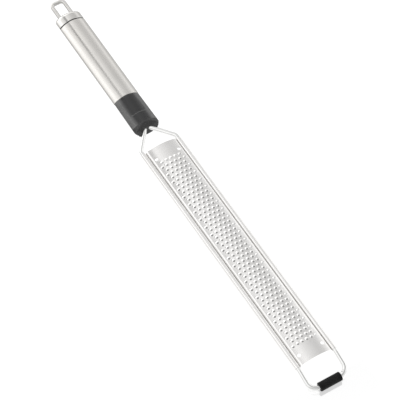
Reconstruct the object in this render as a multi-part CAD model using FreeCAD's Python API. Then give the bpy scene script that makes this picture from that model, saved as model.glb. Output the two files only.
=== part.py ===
import FreeCAD, Part
import math
import os

# Long fine grater: an arched sheet of raised teeth is rolled on to one bent wire, whose two
# ends sit in the black front piece of a steel tube handle. Lengths are in mm. X runs from the
# hanging loop to the foot and is counted from the tip of the loop until the parts are written.
# Z is up and the floor is at 0.

Vec = FreeCAD.Vector

# Overall
OVERALL_LENGTH = 400.0

# Handle section: an oval of four arcs
OVAL_HALF_WIDTH = 10.45
OVAL_HALF_HEIGHT = 5.5
OVAL_SIDE_RADIUS = 1.7
TUBE_WALL = 0.8
PLUG_CLEARANCE = 0.05
PLUG_LENGTH = 9.0
EDGE_CHAMFER = 0.2

# Cutters stand out by CUT_PAST, shapes that would share a skin pass it by SKIN_PAST, and
# what lies at one place is found within SAME
CUT_PAST = 1.0
SKIN_PAST = 0.001
SAME = 1e-6

# Lengths along the handle, one after the other from the tip of the loop
LOOP_LENGTH = 16.7
CAP_LENGTH = 9.0
RING_THICKNESS = 0.9
TUBE_LENGTH = 84.9
COLLAR_LENGTH = 33.5
RING_INSET = 0.15

# Hanging loop and the domed shoulders of the end cap
LOOP_HALF_WIDTH = 6.7
LOOP_THICKNESS = 3.0
LOOP_BAR = 2.8
LOOP_TIP_BAR = 2.9
LOOP_CORNER = 4.5
LOOP_HOLE_CORNER = 1.5
LOOP_HOLE_LENGTH = 13.3
LOOP_EDGE = 0.7
LOOP_ROOT_DEPTH = 1.8
SHOULDER_PLAN_CORNER = 3.5
SHOULDER_SIDE_CORNER = 3.4

# Front piece of the handle
COLLAR_SWELL = 0.35
COLLAR_SIDE_RADIUS = 1.8
COLLAR_JOINT_SCALE = 0.958
COLLAR_TAPER_LENGTH = 27.5
COLLAR_TOP_LENGTH = 27.8
COLLAR_FACE_LEAN = 1.16
COLLAR_FACE_DROP = 3.48
COLLAR_FOOT_HEIGHT = 0.6
COLLAR_FOOT_BEVEL = 0.7
COLLAR_NOSE_RADIUS = 4.7
COLLAR_BROW_ANGLE = 55.0
COLLAR_PLAN_CORNER = 4.0
THUMB_FROM_JOINT = 3.5
THUMB_LENGTH = 15.3
THUMB_DEPTH = 0.5
THUMB_HALF_WIDTH = 6.0

# Frame wire
WIRE_RADIUS = 1.75
WIRE_CLEARANCE = 0.03
WIRE_HALF_SPAN = 15.3
WIRE_ROOT_HALF_SPAN = 2.0
WIRE_ROOT_FROM_JOINT = 7.5
WIRE_SPLAY_INSIDE = 2.8
THROAT_LENGTH = 15.1
WIRE_DROP_BEFORE_END = 20.5
WIRE_SPLAY_RADIUS = 4.0
WIRE_KINK_RADIUS = 4.5
WIRE_DROP_RADIUS = 9.0
WIRE_CORNER_RADIUS = 6.9
CHANNEL_ROOM = 0.3
CHANNEL_MOUTH = 0.9
CHANNEL_BORE = 12.0
PLANE_INSIDE = 0.4
PLANE_UNDER_AXIS = 0.5
PLANE_SLOPE = 0.0137

# Foot
FOOT_RADIUS = 3.5
FOOT_HALF_LENGTH = 8.85
FOOT_EDGE = 0.4
FOOT_BORE_CLEARANCE = 0.05

# Grater sheet, measured from the plane of the wire
SHEET_SETBACK = 3.7
SHEET_END_BEFORE_END = 21.7
SHEET_THICKNESS = 0.35
ARCH_TOP = 4.1
ARCH_RADIUS = 40.0
SHOULDER_RADIUS = 2.25
FLANK_ANGLE = 65.0
ROLL_END_ANGLE = 155.0

# Round holes at the four corners of the sheet
CORNER_HOLE_RADIUS = 1.4
CORNER_HOLE_FROM_START = 10.2
CORNER_HOLE_FROM_END = 7.3
CORNER_HOLE_HALF_SPAN = 9.75

# Teeth
TOOTH_FIRST_ROW_FROM_START = 15.1
PLAIN_END = 14.5
TOOTH_ROW_PITCH = 3.92
TOOTH_PITCH = 3.8
TEETH_SHORT_ROW = 5
TOOTH_HEIGHT = 0.75
TOOTH_BACK = -1.2
TOOTH_BACK_HALF = 0.55
TOOTH_MOUTH = -0.3
TOOTH_MOUTH_HALF = 1.2
TOOTH_RIDGE_HALF = 0.55
OPENING_FRONT = 1.0
OPENING_BACK_HALF = 0.85
OPENING_FRONT_HALF = 0.6
OPENING_REACH = 1.2

# Dependent sizes
RING_START = LOOP_LENGTH + CAP_LENGTH
RING_END = RING_START + RING_THICKNESS
COLLAR_START = RING_END + TUBE_LENGTH
COLLAR_END = COLLAR_START + COLLAR_LENGTH
COLLAR_HALF_WIDTH = OVAL_HALF_WIDTH + COLLAR_SWELL
THUMB_START = COLLAR_START + THUMB_FROM_JOINT
THUMB_END = THUMB_START + THUMB_LENGTH
AXIS_HEIGHT = OVAL_HALF_HEIGHT
PLANE_START = COLLAR_END - PLANE_INSIDE
PLANE_HEIGHT = AXIS_HEIGHT - PLANE_UNDER_AXIS
WIRE_ROOT = COLLAR_START + WIRE_ROOT_FROM_JOINT
WIRE_SPLAY = COLLAR_END - WIRE_SPLAY_INSIDE
WIRE_KINK = COLLAR_END + THROAT_LENGTH
SHEET_START = WIRE_KINK + SHEET_SETBACK
WIRE_DROP = OVERALL_LENGTH - WIRE_DROP_BEFORE_END
SHEET_END = OVERALL_LENGTH - SHEET_END_BEFORE_END
CORNER_HOLE_STATIONS = (SHEET_START + CORNER_HOLE_FROM_START, SHEET_END - CORNER_HOLE_FROM_END)
TOOTH_FIRST_ROW = SHEET_START + TOOTH_FIRST_ROW_FROM_START
TOOTH_ROWS = 1 + int((SHEET_END - PLAIN_END - TOOTH_FIRST_ROW) / TOOTH_ROW_PITCH)
BORE_HALF_WIDTH = OVAL_HALF_WIDTH - TUBE_WALL
BORE_HALF_HEIGHT = OVAL_HALF_HEIGHT - TUBE_WALL
BORE_SIDE_RADIUS = OVAL_SIDE_RADIUS - TUBE_WALL
FOOT_STATION = OVERALL_LENGTH - FOOT_RADIUS
ROLL_RADIUS = WIRE_RADIUS + WIRE_CLEARANCE + SHEET_THICKNESS / 2
ARCH_MID = ARCH_TOP - SHEET_THICKNESS / 2
ARCH_CENTRE = ARCH_MID - ARCH_RADIUS
PLANE_ANGLE = math.degrees(math.atan(PLANE_SLOPE))


def plane_height(x):
    """Height of the wire's centre line over the floor at station x."""
    return PLANE_HEIGHT + PLANE_SLOPE * (x - PLANE_START)


# Handle
def oval_wire(x, half_width, half_height, side_radius):
    """Closed oval of four tangent arcs, across the length at station x."""
    reach = half_width - side_radius
    rise = half_height - side_radius
    top_radius = (reach ** 2 + half_height ** 2 - side_radius ** 2) / (2 * rise)
    scale = side_radius / (top_radius - side_radius)
    y = reach + reach * scale
    z = (top_radius - half_height) * scale

    def point(across, up):
        return Vec(x, across, AXIS_HEIGHT + up)

    return Part.Wire([
        Part.Arc(point(-y, z), point(0, half_height), point(y, z)).toShape(),
        Part.Arc(point(y, z), point(half_width, 0), point(y, -z)).toShape(),
        Part.Arc(point(y, -z), point(0, -half_height), point(-y, -z)).toShape(),
        Part.Arc(point(-y, -z), point(-half_width, 0), point(-y, z)).toShape(),
    ])


def oval_bar(start, end, half_width, half_height, side_radius, chamfer_start=0.0, chamfer_end=0.0):
    """Straight bar of oval section with an optional chamfer at each end."""
    face = Part.Face(oval_wire(start, half_width, half_height, side_radius))
    bar = face.extrude(Vec(end - start, 0, 0))
    for station, chamfer in ((start, chamfer_start), (end, chamfer_end)):
        if chamfer:
            rim = [e for e in bar.Edges if all(abs(v.X - station) < SAME for v in e.Vertexes)]
            bar = bar.makeChamfer(chamfer, rim)
    return bar


def bore_bar(start, end, clearance=0.0):
    """Oval bar that fills the tube, less a clearance all round."""
    return oval_bar(start, end, BORE_HALF_WIDTH - clearance, BORE_HALF_HEIGHT - clearance,
                    BORE_SIDE_RADIUS - clearance)


def handle_tube():
    """Hollow oval tube, both outer rims chamfered."""
    outside = oval_bar(RING_END, COLLAR_START, OVAL_HALF_WIDTH, OVAL_HALF_HEIGHT,
                       OVAL_SIDE_RADIUS, EDGE_CHAMFER, EDGE_CHAMFER)
    return outside.cut(bore_bar(RING_END, COLLAR_START))


def seal_ring():
    """Thin oval ring between the cap and the tube, slightly set in."""
    outside = oval_bar(RING_START, RING_END, OVAL_HALF_WIDTH - RING_INSET,
                       OVAL_HALF_HEIGHT - RING_INSET, OVAL_SIDE_RADIUS - RING_INSET)
    return outside.cut(bore_bar(RING_START, RING_END))


def rounded_plate(x0, x1, half_width, corner, low, high):
    """Upright prism of a rectangle whose four corners are rounded."""
    box = Part.makeBox(x1 - x0, 2 * half_width, high - low, Vec(x0, -half_width, low))
    uprights = [e for e in box.Edges if e.BoundBox.ZLength > SAME]
    return box.makeFillet(corner, uprights)


def loop_plate():
    """Plate of the hanging loop with its long hole, all rims broken by a chamfer."""
    low = AXIS_HEIGHT - LOOP_THICKNESS / 2
    high = AXIS_HEIGHT + LOOP_THICKNESS / 2
    root = LOOP_LENGTH + LOOP_ROOT_DEPTH
    plate = rounded_plate(0, root + LOOP_CORNER, LOOP_HALF_WIDTH, LOOP_CORNER, low, high)
    hole = rounded_plate(LOOP_TIP_BAR, LOOP_TIP_BAR + LOOP_HOLE_LENGTH, LOOP_HALF_WIDTH - LOOP_BAR,
                         LOOP_HOLE_CORNER, low - CUT_PAST, high + CUT_PAST)
    plate = plate.cut(hole)
    rims = [e for e in plate.Edges if e.BoundBox.ZLength < SAME]
    return plate.makeChamfer(LOOP_EDGE, rims)


def shoulder_block():
    """Oval barrel of the cap whose rear end is rounded off in plan and in side view."""
    barrel = oval_bar(LOOP_LENGTH, RING_START, OVAL_HALF_WIDTH, OVAL_HALF_HEIGHT,
                      OVAL_SIDE_RADIUS, 0.0, EDGE_CHAMFER)
    past = RING_START + 2 * SHOULDER_PLAN_CORNER
    plan = rounded_plate(LOOP_LENGTH, past, OVAL_HALF_WIDTH, SHOULDER_PLAN_CORNER,
                         -OVAL_HALF_WIDTH, OVAL_HALF_WIDTH)
    side = rounded_plate(LOOP_LENGTH, past, OVAL_HALF_HEIGHT, SHOULDER_SIDE_CORNER,
                         -2 * OVAL_HALF_WIDTH, 2 * OVAL_HALF_WIDTH)
    side.rotate(Vec(0, 0, 0), Vec(1, 0, 0), 90)
    for cutter in (plan, side):
        cutter.translate(Vec(0, 0, AXIS_HEIGHT))
        barrel = barrel.common(cutter)
    return barrel


def end_cap():
    """Hanging loop, domed shoulders, short oval barrel and the plug inside the tube."""
    plug = bore_bar(RING_START - CUT_PAST, RING_END + PLUG_LENGTH, PLUG_CLEARANCE)
    root = LOOP_LENGTH + LOOP_ROOT_DEPTH
    kept = Part.makeBox(root, 2 * OVAL_HALF_WIDTH, 2 * AXIS_HEIGHT, Vec(0, -OVAL_HALF_WIDTH, 0))
    loop = loop_plate().common(kept)
    return shoulder_block().fuse([plug, loop]).removeSplitter()


def nose_profile():
    """Side outline of the front piece: flat top, round brow, leaning face, small lower round."""
    brow = Vec(COLLAR_START + COLLAR_TOP_LENGTH, 0, AXIS_HEIGHT + OVAL_HALF_HEIGHT)
    turn = math.radians(COLLAR_BROW_ANGLE)
    centre_z = brow.z - COLLAR_NOSE_RADIUS
    mid = Vec(brow.x + COLLAR_NOSE_RADIUS * math.cos(turn), 0,
              centre_z + COLLAR_NOSE_RADIUS * math.sin(turn))
    face_top = Vec(COLLAR_END - COLLAR_FACE_LEAN, 0, brow.z - COLLAR_FACE_DROP)
    face_foot = Vec(COLLAR_END, 0, COLLAR_FOOT_HEIGHT)
    back = COLLAR_START - PLUG_LENGTH
    under = Vec(COLLAR_END - COLLAR_FOOT_BEVEL, 0, -SKIN_PAST)
    back_low = Vec(back, 0, -SKIN_PAST)
    back_high = Vec(back, 0, brow.z + CUT_PAST)
    brow_high = Vec(brow.x, 0, brow.z + CUT_PAST)
    return Part.Wire([
        Part.makeLine(brow_high, brow),
        Part.Arc(brow, mid, face_top).toShape(),
        Part.makeLine(face_top, face_foot),
        Part.makeLine(face_foot, under),
        Part.makeLine(under, back_low),
        Part.makeLine(back_low, back_high),
        Part.makeLine(back_high, brow_high),
    ])


def wire_channel():
    """Room for the two wire ends inside the front piece: a flat slot and two slanted bores."""
    half = wire_half()
    radius = WIRE_RADIUS + WIRE_CLEARANCE
    across = WIRE_ROOT_HALF_SPAN + radius + CHANNEL_ROOM
    low = half[0].z - radius
    high = half[1].z + radius
    slot = Part.makeBox(half[1].x - half[0].x + CHANNEL_MOUTH, 2 * across, high - low,
                        Vec(half[0].x - WIRE_CLEARANCE, -across, low))
    bores = []
    for side in (-1, 1):
        root = Vec(half[1].x, side * half[1].y, half[1].z)
        kink = Vec(half[2].x, side * half[2].y, half[2].z)
        along = (kink - root).normalize()
        bores.append(Part.makeCylinder(radius, CHANNEL_BORE, root - along * CUT_PAST, along))
    return slot.fuse(bores)


def front_collar():
    """Black front piece: plug in the tube, swelling body, rounded nose and thumb recess."""
    body = Part.makeLoft([
        oval_wire(COLLAR_START, COLLAR_HALF_WIDTH * COLLAR_JOINT_SCALE,
                  OVAL_HALF_HEIGHT * COLLAR_JOINT_SCALE, COLLAR_SIDE_RADIUS * COLLAR_JOINT_SCALE),
        oval_wire(COLLAR_START + COLLAR_TAPER_LENGTH, COLLAR_HALF_WIDTH, OVAL_HALF_HEIGHT, COLLAR_SIDE_RADIUS),
        oval_wire(COLLAR_END + CUT_PAST, COLLAR_HALF_WIDTH, OVAL_HALF_HEIGHT, COLLAR_SIDE_RADIUS),
    ], True, True)
    side = Part.Face(nose_profile()).extrude(Vec(0, 4 * OVAL_HALF_WIDTH, 0))
    side.translate(Vec(0, -2 * OVAL_HALF_WIDTH, 0))
    top = AXIS_HEIGHT + OVAL_HALF_HEIGHT
    plan = rounded_plate(COLLAR_START - PLUG_LENGTH, COLLAR_END, COLLAR_HALF_WIDTH + SKIN_PAST,
                         COLLAR_PLAN_CORNER, -CUT_PAST, top + CUT_PAST)
    body = body.common(side).common(plan)
    over = top + CUT_PAST
    thumb = Part.Face(Part.makePolygon([
        Vec(THUMB_START, 0, top), Vec(THUMB_END, 0, top - THUMB_DEPTH),
        Vec(THUMB_END, 0, over), Vec(THUMB_START, 0, over), Vec(THUMB_START, 0, top)]))
    thumb = thumb.extrude(Vec(0, 2 * THUMB_HALF_WIDTH, 0))
    thumb.translate(Vec(0, -THUMB_HALF_WIDTH, 0))
    plug = bore_bar(COLLAR_START - PLUG_LENGTH, COLLAR_START + CUT_PAST, PLUG_CLEARANCE)
    return body.cut(thumb).fuse(plug).cut(wire_channel()).removeSplitter()


# Frame wire and foot
def rounded_path(points, radii):
    """Wire of straight runs joined by tangent arcs at the inner points."""
    edges = []
    last = points[0]
    for before, corner, after, radius in zip(points, points[1:], points[2:], radii):
        into = (before - corner).normalize()
        out = (after - corner).normalize()
        half = into.getAngle(out) / 2
        setback = radius / math.tan(half)
        bisector = (into + out).normalize()
        nearest = corner + bisector * (radius / math.sin(half) - radius)
        first = corner + into * setback
        second = corner + out * setback
        edges.append(Part.makeLine(last, first))
        edges.append(Part.Arc(first, nearest, second).toShape())
        last = second
    edges.append(Part.makeLine(last, points[-1]))
    return Part.Wire(edges)


def wire_half():
    """Corner points of the wire on the +Y side, from the handle to the foot."""
    return [
        Vec(WIRE_ROOT, WIRE_ROOT_HALF_SPAN, plane_height(WIRE_ROOT)),
        Vec(WIRE_SPLAY, WIRE_ROOT_HALF_SPAN, plane_height(WIRE_SPLAY)),
        Vec(WIRE_KINK, WIRE_HALF_SPAN, plane_height(WIRE_KINK)),
        Vec(WIRE_DROP, WIRE_HALF_SPAN, plane_height(WIRE_DROP)),
        Vec(FOOT_STATION, WIRE_HALF_SPAN, FOOT_RADIUS),
    ]


def frame_wire():
    """Round bar along the whole path, out of the handle, round the foot and back."""
    half = wire_half()
    other = [Vec(p.x, -p.y, p.z) for p in reversed(half)]
    bends = [WIRE_SPLAY_RADIUS, WIRE_KINK_RADIUS, WIRE_DROP_RADIUS, WIRE_CORNER_RADIUS]
    path = rounded_path(half + other, bends + bends[::-1])
    start = half[0]
    profile = Part.Wire([Part.makeCircle(WIRE_RADIUS, start, half[1] - start)])
    return path.makePipe(Part.Face(profile))


def foot():
    """Black sleeve on the cross run of the wire, its rims broken by a chamfer."""
    sleeve = Part.makeCylinder(FOOT_RADIUS, 2 * FOOT_HALF_LENGTH, Vec(0, -FOOT_HALF_LENGTH, 0), Vec(0, 1, 0))
    rims = [e for e in sleeve.Edges if e.BoundBox.YLength < SAME]
    sleeve = sleeve.makeChamfer(FOOT_EDGE, rims)
    bore = Part.makeCylinder(WIRE_RADIUS + FOOT_BORE_CLEARANCE, 4 * FOOT_HALF_LENGTH,
                             Vec(0, -2 * FOOT_HALF_LENGTH, 0), Vec(0, 1, 0))
    sleeve = sleeve.cut(bore)
    sleeve.translate(Vec(FOOT_STATION, 0, FOOT_RADIUS))
    return sleeve


# Grater sheet
def arch_angle():
    """Half angle of the arch at which its shoulder runs on into the flank."""
    flank = math.radians(FLANK_ANGLE)
    reach = math.sin(flank) * WIRE_HALF_SPAN - math.cos(flank) * ARCH_CENTRE
    cosine = (reach - SHOULDER_RADIUS - ROLL_RADIUS) / (ARCH_RADIUS - SHOULDER_RADIUS)
    return flank - math.acos(cosine)


def polar(centre_y, centre_z, radius, angle):
    """Point of a section, with the angle counted from +Y towards +Z."""
    return Vec(0, centre_y + radius * math.cos(angle), centre_z + radius * math.sin(angle))


def section_side(offset):
    """Edges of one side of the sheet from the -Y free edge to the +Y free edge."""
    half = arch_angle()
    flank = math.radians(FLANK_ANGLE)
    upright = math.pi / 2
    shoulder_y = (ARCH_RADIUS - SHOULDER_RADIUS) * math.sin(half)
    shoulder_z = ARCH_CENTRE + (ARCH_RADIUS - SHOULDER_RADIUS) * math.cos(half)
    arch = [polar(0, ARCH_CENTRE, ARCH_RADIUS + offset, upright + turn) for turn in (half, 0, -half)]
    bend = [polar(shoulder_y, shoulder_z, SHOULDER_RADIUS + offset, upright - turn)
            for turn in (half, (half + flank) / 2, flank)]
    low = -upright - flank
    high = math.radians(ROLL_END_ANGLE)
    roll = [polar(WIRE_HALF_SPAN, 0, ROLL_RADIUS - offset, turn) for turn in (low, (low + high) / 2, high)]
    right = [
        Part.Arc(*bend).toShape(),
        Part.makeLine(bend[2], roll[0]),
        Part.Arc(*roll).toShape(),
    ]
    left = [edge.mirror(Vec(0, 0, 0), Vec(0, 1, 0)) for edge in reversed(right)]
    return left + [Part.Arc(*arch).toShape()] + right, roll[2]


def sheet_blank():
    """Arched strip with both long edges rolled round the wire, before the teeth are made."""
    outer, outer_end = section_side(SHEET_THICKNESS / 2)
    inner, inner_end = section_side(-SHEET_THICKNESS / 2)
    mirrored = [Vec(0, -p.y, p.z) for p in (outer_end, inner_end)]
    ends = [Part.makeLine(outer_end, inner_end), Part.makeLine(*mirrored)]
    outline = Part.Wire(Part.__sortEdges__(outer + inner + ends))
    blank = Part.Face(outline).extrude(Vec(SHEET_END - SHEET_START, 0, 0))
    blank.translate(Vec(SHEET_START - PLANE_START, 0, 0))
    return blank


def solid_from(points, faces):
    """Flat-faced solid from its corner points and the corners of each face."""
    built = []
    for face in faces:
        corners = [points[name] for name in face]
        built.append(Part.Face(Part.makePolygon(corners + corners[:1])))
    return Part.makeSolid(Part.makeShell(built))


def tooth_hood():
    """Raised hood of one tooth: a ramp from the handle side that ends in an upright mouth."""
    points = {"b1": Vec(TOOTH_BACK, -TOOTH_BACK_HALF, 0), "b2": Vec(TOOTH_BACK, TOOTH_BACK_HALF, 0),
              "c1": Vec(TOOTH_MOUTH, -TOOTH_MOUTH_HALF, 0), "c2": Vec(TOOTH_MOUTH, TOOTH_MOUTH_HALF, 0),
              "t1": Vec(TOOTH_MOUTH, -TOOTH_RIDGE_HALF, TOOTH_HEIGHT),
              "t2": Vec(TOOTH_MOUTH, TOOTH_RIDGE_HALF, TOOTH_HEIGHT)}
    faces = [("b1", "b2", "c2", "c1"), ("b1", "t1", "t2", "b2"), ("b1", "c1", "t1"),
             ("b2", "t2", "c2"), ("c1", "c2", "t2", "t1")]
    return solid_from(points, faces)


def tooth_opening():
    """Four-sided cutter that opens the sheet in front of the mouth."""
    corners = [Vec(TOOTH_MOUTH, -OPENING_BACK_HALF, -OPENING_REACH),
               Vec(OPENING_FRONT, -OPENING_FRONT_HALF, -OPENING_REACH),
               Vec(OPENING_FRONT, OPENING_FRONT_HALF, -OPENING_REACH),
               Vec(TOOTH_MOUTH, OPENING_BACK_HALF, -OPENING_REACH)]
    return Part.Face(Part.makePolygon(corners + corners[:1])).extrude(Vec(0, 0, 2 * OPENING_REACH))


def on_arch(shape, x, y):
    """Copy of a shape stood on the arch at station x and distance y from the middle."""
    angle = math.asin(y / ARCH_RADIUS)
    copy = shape.copy()
    copy.rotate(Vec(0, 0, 0), Vec(1, 0, 0), -math.degrees(angle))
    copy.translate(Vec(x - PLANE_START, y, ARCH_CENTRE + ARCH_RADIUS * math.cos(angle)))
    return copy


def tooth_places():
    """Station and distance from the middle of each tooth; long and short rows alternate."""
    for row in range(TOOTH_ROWS):
        count = TEETH_SHORT_ROW + row % 2
        for index in range(count):
            yield (TOOTH_FIRST_ROW + row * TOOTH_ROW_PITCH, (index - (count - 1) / 2) * TOOTH_PITCH)


def grater_sheet():
    """Rolled sheet with its teeth and round holes, tilted into the plane of the wire."""
    places = list(tooth_places())
    hood = tooth_hood()
    opening = tooth_opening()
    round_hole = Part.makeCylinder(CORNER_HOLE_RADIUS, 2 * OPENING_REACH, Vec(0, 0, -OPENING_REACH))
    holes = [on_arch(round_hole, x, side * CORNER_HOLE_HALF_SPAN)
             for x in CORNER_HOLE_STATIONS for side in (-1, 1)]
    openings = [on_arch(opening, x, y) for x, y in places]
    sheet = sheet_blank().fuse([on_arch(hood, x, y) for x, y in places])
    sheet = sheet.cut(Part.makeCompound(openings + holes)).removeSplitter().toNurbs()
    sheet.rotate(Vec(0, 0, 0), Vec(0, 1, 0), -PLANE_ANGLE)
    sheet.translate(Vec(PLANE_START, 0, PLANE_HEIGHT))
    return sheet


def write(name, shape):
    """Write one part with the origin under the middle of the whole grater."""
    solid = shape.Solids[0] if len(shape.Solids) == 1 else shape
    solid.translate(Vec(-OVERALL_LENGTH / 2, 0, 0))
    solid.exportStep("parts/" + name + ".step")
    print(name, "valid", solid.isValid(), "solids", len(solid.Solids), "volume", round(solid.Volume, 1))


os.makedirs("parts", exist_ok=True)
write("handle_tube", handle_tube())
write("end_cap", end_cap())
write("seal_ring", seal_ring())
write("front_collar", front_collar())
write("frame_wire", frame_wire())
write("foot", foot())
write("grater_sheet", grater_sheet())
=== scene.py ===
"""Looks of a long fine grater: steel handle, black front piece, bent wire and toothed sheet.

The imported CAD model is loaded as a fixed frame. Surfaces that have to shine smoothly are
worked out again with numpy from the same sizes, in mm, and put in place in metres.
"""

from __future__ import annotations

import logging
import math
from dataclasses import dataclass, field
from enum import Enum
from typing import Any, Iterable, Sequence

import bpy
import numpy as np
from mathutils import Matrix, Vector

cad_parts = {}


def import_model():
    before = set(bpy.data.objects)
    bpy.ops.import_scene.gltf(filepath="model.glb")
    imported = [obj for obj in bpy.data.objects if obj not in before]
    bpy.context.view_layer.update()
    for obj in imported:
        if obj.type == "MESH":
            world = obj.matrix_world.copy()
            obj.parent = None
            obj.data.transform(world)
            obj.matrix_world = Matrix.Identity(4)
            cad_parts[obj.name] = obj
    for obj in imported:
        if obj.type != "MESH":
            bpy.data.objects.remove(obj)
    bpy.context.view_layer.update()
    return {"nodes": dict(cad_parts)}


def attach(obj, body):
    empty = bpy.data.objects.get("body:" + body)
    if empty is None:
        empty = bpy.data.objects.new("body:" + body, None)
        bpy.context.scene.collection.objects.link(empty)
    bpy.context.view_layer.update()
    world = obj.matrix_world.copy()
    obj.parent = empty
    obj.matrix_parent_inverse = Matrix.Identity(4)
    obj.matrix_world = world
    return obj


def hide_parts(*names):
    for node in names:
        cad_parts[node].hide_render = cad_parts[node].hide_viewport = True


LOG = logging.getLogger("fine_grater")
MM = 0.001
OVERALL = 400.0
CELL_POINTS = 16
Patch = tuple[np.ndarray, np.ndarray]


# Geometry helpers


def place(points: np.ndarray) -> np.ndarray:
    """Turn points counted from the loop's tip, in mm, into metres about the middle.

    Args:
        points: Array whose last axis is x, y, z in mm.

    Returns:
        The same points in the row frame, in metres.
    """
    shifted = np.asarray(points, float) - np.array([OVERALL / 2, 0.0, 0.0])
    return shifted * MM


def grid_quads(rows: int, cols: int, wrap_rows: bool, wrap_cols: bool) -> np.ndarray:
    """Quads of a grid of rows by cols points; a wrapped direction joins its last line to its first.

    Args:
        rows: Number of points along the first direction.
        cols: Number of points along the second direction.
        wrap_rows: Whether the first direction closes on itself.
        wrap_cols: Whether the second direction closes on itself.

    Returns:
        Array of point numbers, four to a quad.
    """
    i = np.arange(rows if wrap_rows else rows - 1)[:, None]
    j = np.arange(cols if wrap_cols else cols - 1)[None, :]
    i2, j2 = (i + 1) % rows, (j + 1) % cols
    quads = np.stack([i * cols + j, i2 * cols + j, i2 * cols + j2, i * cols + j2], axis=-1)
    return quads.reshape(-1, 4)


def new_piece(name: str, points: np.ndarray, faces: Iterable[Sequence[int]],
              sharp: float = 35.0) -> bpy.types.Object:
    """Make a smooth-shaded mesh object at the origin and ride it on the one body.

    Args:
        name: Name of the piece.
        points: Points in metres.
        faces: Faces as lists of point numbers, pointing outwards.
        sharp: Angle in degrees past which an edge is kept sharp.

    Returns:
        The new object.
    """
    mesh = bpy.data.meshes.new(name)
    mesh.from_pydata(np.asarray(points).reshape(-1, 3).tolist(), [], [list(f) for f in faces])
    mesh.validate()
    mesh.polygons.foreach_set("use_smooth", np.ones(len(mesh.polygons), bool))
    mesh.set_sharp_from_angle(angle=math.radians(sharp))
    mesh.update()
    piece = bpy.data.objects.new(name, mesh)
    bpy.context.scene.collection.objects.link(piece)
    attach(piece, "root")
    return piece


@dataclass(frozen=True)
class Oval:
    """Oval of four tangent arcs: flat ones above and below, tight ones at the sides.

    Attributes:
        width: Half width in mm.
        height: Half height in mm.
        side: Radius of the side arcs in mm.
    """

    width: float
    height: float
    side: float

    def outline(self, count: int) -> np.ndarray:
        """Points of the oval by the direction of their normal.

        Where the normal leans more than the joint angle from the vertical the point lies on
        a side arc: its centre plus the side radius along the normal. Otherwise it lies on a
        flat arc: that arc's centre plus its radius along the normal.

        Args:
            count: Number of points, spread evenly over the length of the curve.

        Returns:
            Array of (y, z) with count rows, running anticlockwise seen from the foot.
        """
        reach = self.width - self.side
        flat = (reach ** 2 + self.height ** 2 - self.side ** 2) / (2 * (self.height - self.side))
        joint = math.asin(reach / (flat - self.side))
        turn = np.linspace(0.0, 2 * math.pi, 4001)[:-1]
        lean = np.abs(np.arcsin(np.clip(np.cos(turn), -1, 1)))
        on_side = lean > joint
        radius = np.where(on_side, self.side, flat)
        centre_y = np.where(on_side, np.sign(np.cos(turn)) * reach, 0.0)
        centre_z = np.where(on_side, 0.0, -np.sign(np.sin(turn)) * (flat - self.height))
        y = centre_y + radius * np.cos(turn)
        z = centre_z + radius * np.sin(turn)
        steps = np.hypot(np.diff(y, append=y[:1]), np.diff(z, append=z[:1]))
        along = np.concatenate([[0.0], np.cumsum(steps)])
        wanted = np.linspace(0.0, along[-1], count, endpoint=False)
        return np.stack([np.interp(wanted, along, np.append(y, y[0])),
                         np.interp(wanted, along, np.append(z, z[0]))], axis=-1)


def rounded_run(points: np.ndarray, radii: Sequence[float], step: float) -> np.ndarray:
    """Centre line of straight runs whose corners are replaced by arcs of the given radii.

    Each arc starts and ends at radius over tan(half angle) from its corner, and its points
    are the start and end mixed by the sines of the angles left and passed.

    Args:
        points: Corner points in mm, first and last being the ends.
        radii: One bend radius for each inner corner.
        step: Angle in degrees between neighbouring points of an arc.

    Returns:
        Array of points along the line.
    """
    runs = [points[:1]]
    for before, corner, after, radius in zip(points, points[1:], points[2:], radii):
        into = (before - corner) / np.linalg.norm(before - corner)
        out = (after - corner) / np.linalg.norm(after - corner)
        half = math.acos(float(np.clip(into @ out, -1, 1))) / 2
        setback = radius / math.tan(half)
        first, last = corner + into * setback, corner + out * setback
        middle = corner + (into + out) / np.linalg.norm(into + out) * (radius / math.sin(half))
        sweep = math.pi - 2 * half
        t = np.linspace(0, 1, max(3, int(math.degrees(sweep) / step) + 1))[:, None]
        mix_a, mix_b = np.sin((1 - t) * sweep), np.sin(t * sweep)
        runs.append(middle + ((first - middle) * mix_a + (last - middle) * mix_b) / math.sin(sweep))
    runs.append(points[-1:])
    return np.concatenate(runs)


def closed_run(rings: np.ndarray, first: Sequence[float],
               last: Sequence[float]) -> tuple[np.ndarray, list[list[int]]]:
    """Skin over a run of rings, closed at both ends by fans round a middle point.

    Args:
        rings: Points of the rings, running anticlockwise seen from the last one.
        first: Middle point of the first end.
        last: Middle point of the last end.

    Returns:
        Points and faces.
    """
    count, sides = rings.shape[:2]
    k = np.arange(sides)
    n, base, end = (k + 1) % sides, (count - 1) * sides, count * sides
    faces = grid_quads(count, sides, False, True)[:, ::-1].tolist()
    faces += np.stack([np.full(sides, end), n, k], axis=-1).tolist()
    faces += np.stack([np.full(sides, end + 1), base + k, base + n], axis=-1).tolist()
    return np.concatenate([rings.reshape(-1, 3), [first, last]]), faces


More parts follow.
